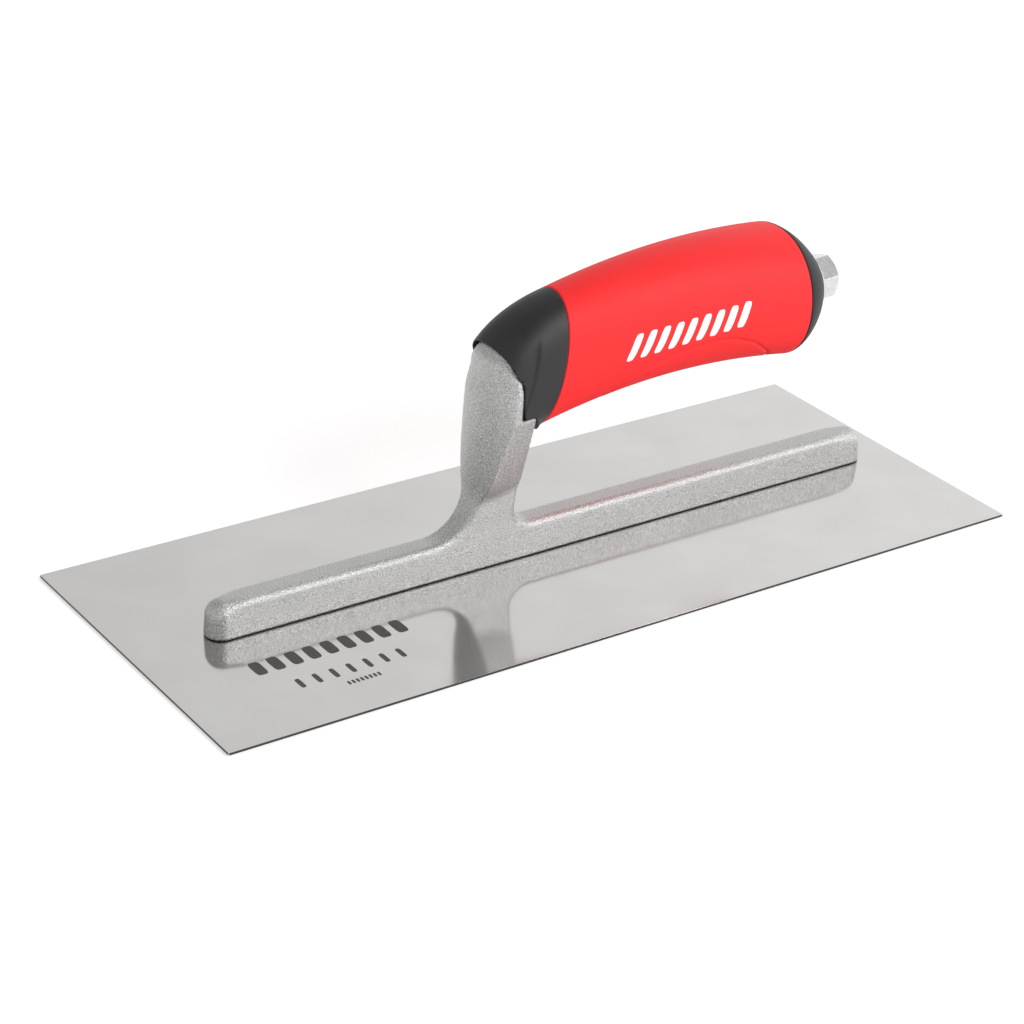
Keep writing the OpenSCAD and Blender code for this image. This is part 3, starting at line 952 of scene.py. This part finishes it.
def build_rod(material):
    """The rod, with a true thread where it leaves the handle."""
    n = 32
    end = WASHER_T + NUT_T + 1.0
    start = -8.0
    angles = circle(n)
    stations = np.arange(start, end + 0.01, THREAD_PITCH / 10)
    rings = [rod_circle(ROD_START, ROD_R - 0.6, angles), rod_circle(ROD_START + 0.7, ROD_R, angles),
             rod_circle(start - 1.0, ROD_R, angles)]
    for x in stations:
        phase = (x / THREAD_PITCH + angles / (2 * math.pi)) % 1
        tooth = np.clip(np.abs(phase - 0.5) * 2.4 - 0.1, 0, 1)
        run_in = smoothstep(start, start + 2, x)
        chamfer = max(0.0, x - (end - 0.9))
        radius = np.minimum(ROD_R - THREAD_DEPTH * tooth * run_in, ROD_R - chamfer)
        rings.append(rod_circle(x, radius, angles))
    rings.append(rod_circle(end, 0.4, angles))
    points = np.concatenate(rings)
    faces = ring_faces(len(rings), n)
    faces.append(tuple(range(n - 1, -1, -1)))
    faces.append(tuple((len(rings) - 1) * n + i for i in range(n)))
    make_piece("threaded_rod", points, faces, material, ["tang_rod"], smooth_angle=50)


# ---- camera, lights and floor -----------------------------------------------

def build_camera():
    """A camera aimed close to the blade's middle; its distances are in millimetres."""
    azimuth, elevation, roll = np.radians([-35.4967, 27.0114, 2.6479])
    distance, aim_right, aim_up = 832.35, 8.2896, -10.3294
    back = Vector((math.sin(azimuth) * math.cos(elevation),
                   -math.cos(azimuth) * math.cos(elevation), math.sin(elevation)))
    right0 = Vector((0, 0, 1)).cross(back).normalized()
    up0 = back.cross(right0)
    right = right0 * math.cos(roll) + up0 * math.sin(roll)
    up = up0 * math.cos(roll) - right0 * math.sin(roll)
    place = (back * distance - right * aim_right - up * aim_up) * MM
    data = bpy.data.cameras.new("camera")
    data.sensor_width = 36.0
    data.lens = 95.65
    data.clip_start, data.clip_end = 0.01, 50.0
    camera = bpy.data.objects.new("camera", data)
    bpy.context.scene.collection.objects.link(camera)
    rows = [(right[i], up[i], back[i], place[i]) for i in range(3)]
    camera.matrix_world = Matrix((*rows, (0, 0, 0, 1)))
    bpy.context.scene.camera = camera


def build_world():
    """A white sky whose strength is the product of four soft slopes."""
    world = bpy.data.worlds.new("studio")
    world.use_nodes = True
    tree = world.node_tree
    background = tree.nodes["Background"]
    coords = tree.nodes.new("ShaderNodeTexCoord").outputs["Generated"]

    def slope(direction, low, high, out_low, out_high):
        """Brightness that changes smoothly along a direction of the sky."""
        dot = tree.nodes.new("ShaderNodeVectorMath")
        dot.operation = "DOT_PRODUCT"
        tree.links.new(coords, dot.inputs[0])
        dot.inputs[1].default_value = tuple(unit(direction))
        span = tree.nodes.new("ShaderNodeMapRange")
        span.interpolation_type = "SMOOTHSTEP"
        for name, value in (("From Min", low), ("From Max", high),
                            ("To Min", out_low), ("To Max", out_high)):
            span.inputs[name].default_value = value
        tree.links.new(dot.outputs["Value"], span.inputs["Value"])
        return span.outputs["Result"]

    def product(a, b):
        node = tree.nodes.new("ShaderNodeMath")
        node.operation = "MULTIPLY"
        tree.links.new(a, node.inputs[0])
        tree.links.new(b, node.inputs[1])
        return node.outputs[0]

    # Brighter on the right; dimmer behind, overhead and at the near right corner
    side = slope((1, 0.1, 0), -0.1, 1.0, 0.7, 1.7)
    back = slope((0, 1, 0), -0.3, 0.6, 1.15, 0.75)
    overhead = slope((0.1, -0.45, 0.9), 0.45, 0.95, 1.0, 0.45)
    corner = slope((0.7, -0.7, 0.2), 0.5, 1.0, 1.0, 0.78)
    strength = product(product(side, back), product(overhead, corner))
    tree.links.new(strength, background.inputs["Strength"])
    background.inputs["Color"].default_value = (1.0, 1.0, 1.0, 1)
    bpy.context.scene.world = world


def add_light(name, place, target, size, power):
    data = bpy.data.lights.new(name, "AREA")
    data.shape = "RECTANGLE"
    data.size, data.size_y = size
    data.energy = power
    light = bpy.data.objects.new(name, data)
    light.location = place
    light.rotation_euler = (Vector(target) - Vector(place)).to_track_quat("-Z", "Y").to_euler()
    bpy.context.scene.collection.objects.link(light)


def build_floor():
    """A pale floor just under the blade, which glows a little so that it stays near white."""
    n = Nodes("floor")
    cloud = n.noise(300, 2, 0.5)
    n.put(Metallic=0.0, Roughness=0.9)
    n.shader.inputs["Emission Color"].default_value = (1, 1, 1, 1)
    n.shader.inputs["Emission Strength"].default_value = 0.38
    color = n.blend(n.span(cloud, 0.3, 0.7), (0.86, 0.86, 0.86), (0.87, 0.87, 0.87))
    material = n.finish(color)
    # In metres
    half, z = 6.0, -0.0002
    mesh = bpy.data.meshes.new("floor")
    mesh.from_pydata([(-half, -half, z), (half, -half, z), (half, half, z), (-half, half, z)],
                     [], [(0, 1, 2, 3)])
    mesh.materials.append(material)
    floor = bpy.data.objects.new("floor", mesh)
    bpy.context.scene.collection.objects.link(floor)


# ---- the whole object -------------------------------------------------------

bpy.context.scene.view_settings.view_transform = "Standard"
build_camera()
build_world()
add_light("key", place=(0.5, -1.1, 0.85), target=(0.03, 0, 0.05), size=(1.0, 0.6), power=9.5)
build_floor()

steel = blade_material()
aluminium = casting_material()
black = plastic_material("black_plastic", (0.014, 0.014, 0.015), 0.4, 0.5, 0.42)
rubber = rubber_material()
cap_black = plastic_material("cap_plastic", (0.01, 0.01, 0.0105), 0.46, 0.56, 0.22)
zinc = bright_material("zinc_plate", (0.60, 0.60, 0.61), (0.74, 0.74, 0.75), 0.16, 0.28)
rivet = bright_material("rivet_steel", (0.40, 0.40, 0.40), (0.5, 0.5, 0.5), 0.25, 0.4)
# Near black for the strip of painted shade under the bar
dark = plastic_material("seam_painted_shade", (0.012, 0.012, 0.012), 0.6, 0.7)
ink = ink_material("blade_ink", (0.045, 0.042, 0.036))
white = ink_material("grip_ink", (0.9, 0.9, 0.9))

build_blade(steel)
build_rivets(rivet)
build_casting(aluminium)
build_shade_strip(dark)
build_collar(black)
build_grip(rubber)
build_cap(cap_black)
build_washer(zinc)
build_nut(zinc)
build_rod(zinc)
build_blade_marks(ink)
build_grip_marks(white)

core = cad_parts["handle_core"].data
core.materials.clear()
core.materials.append(black)
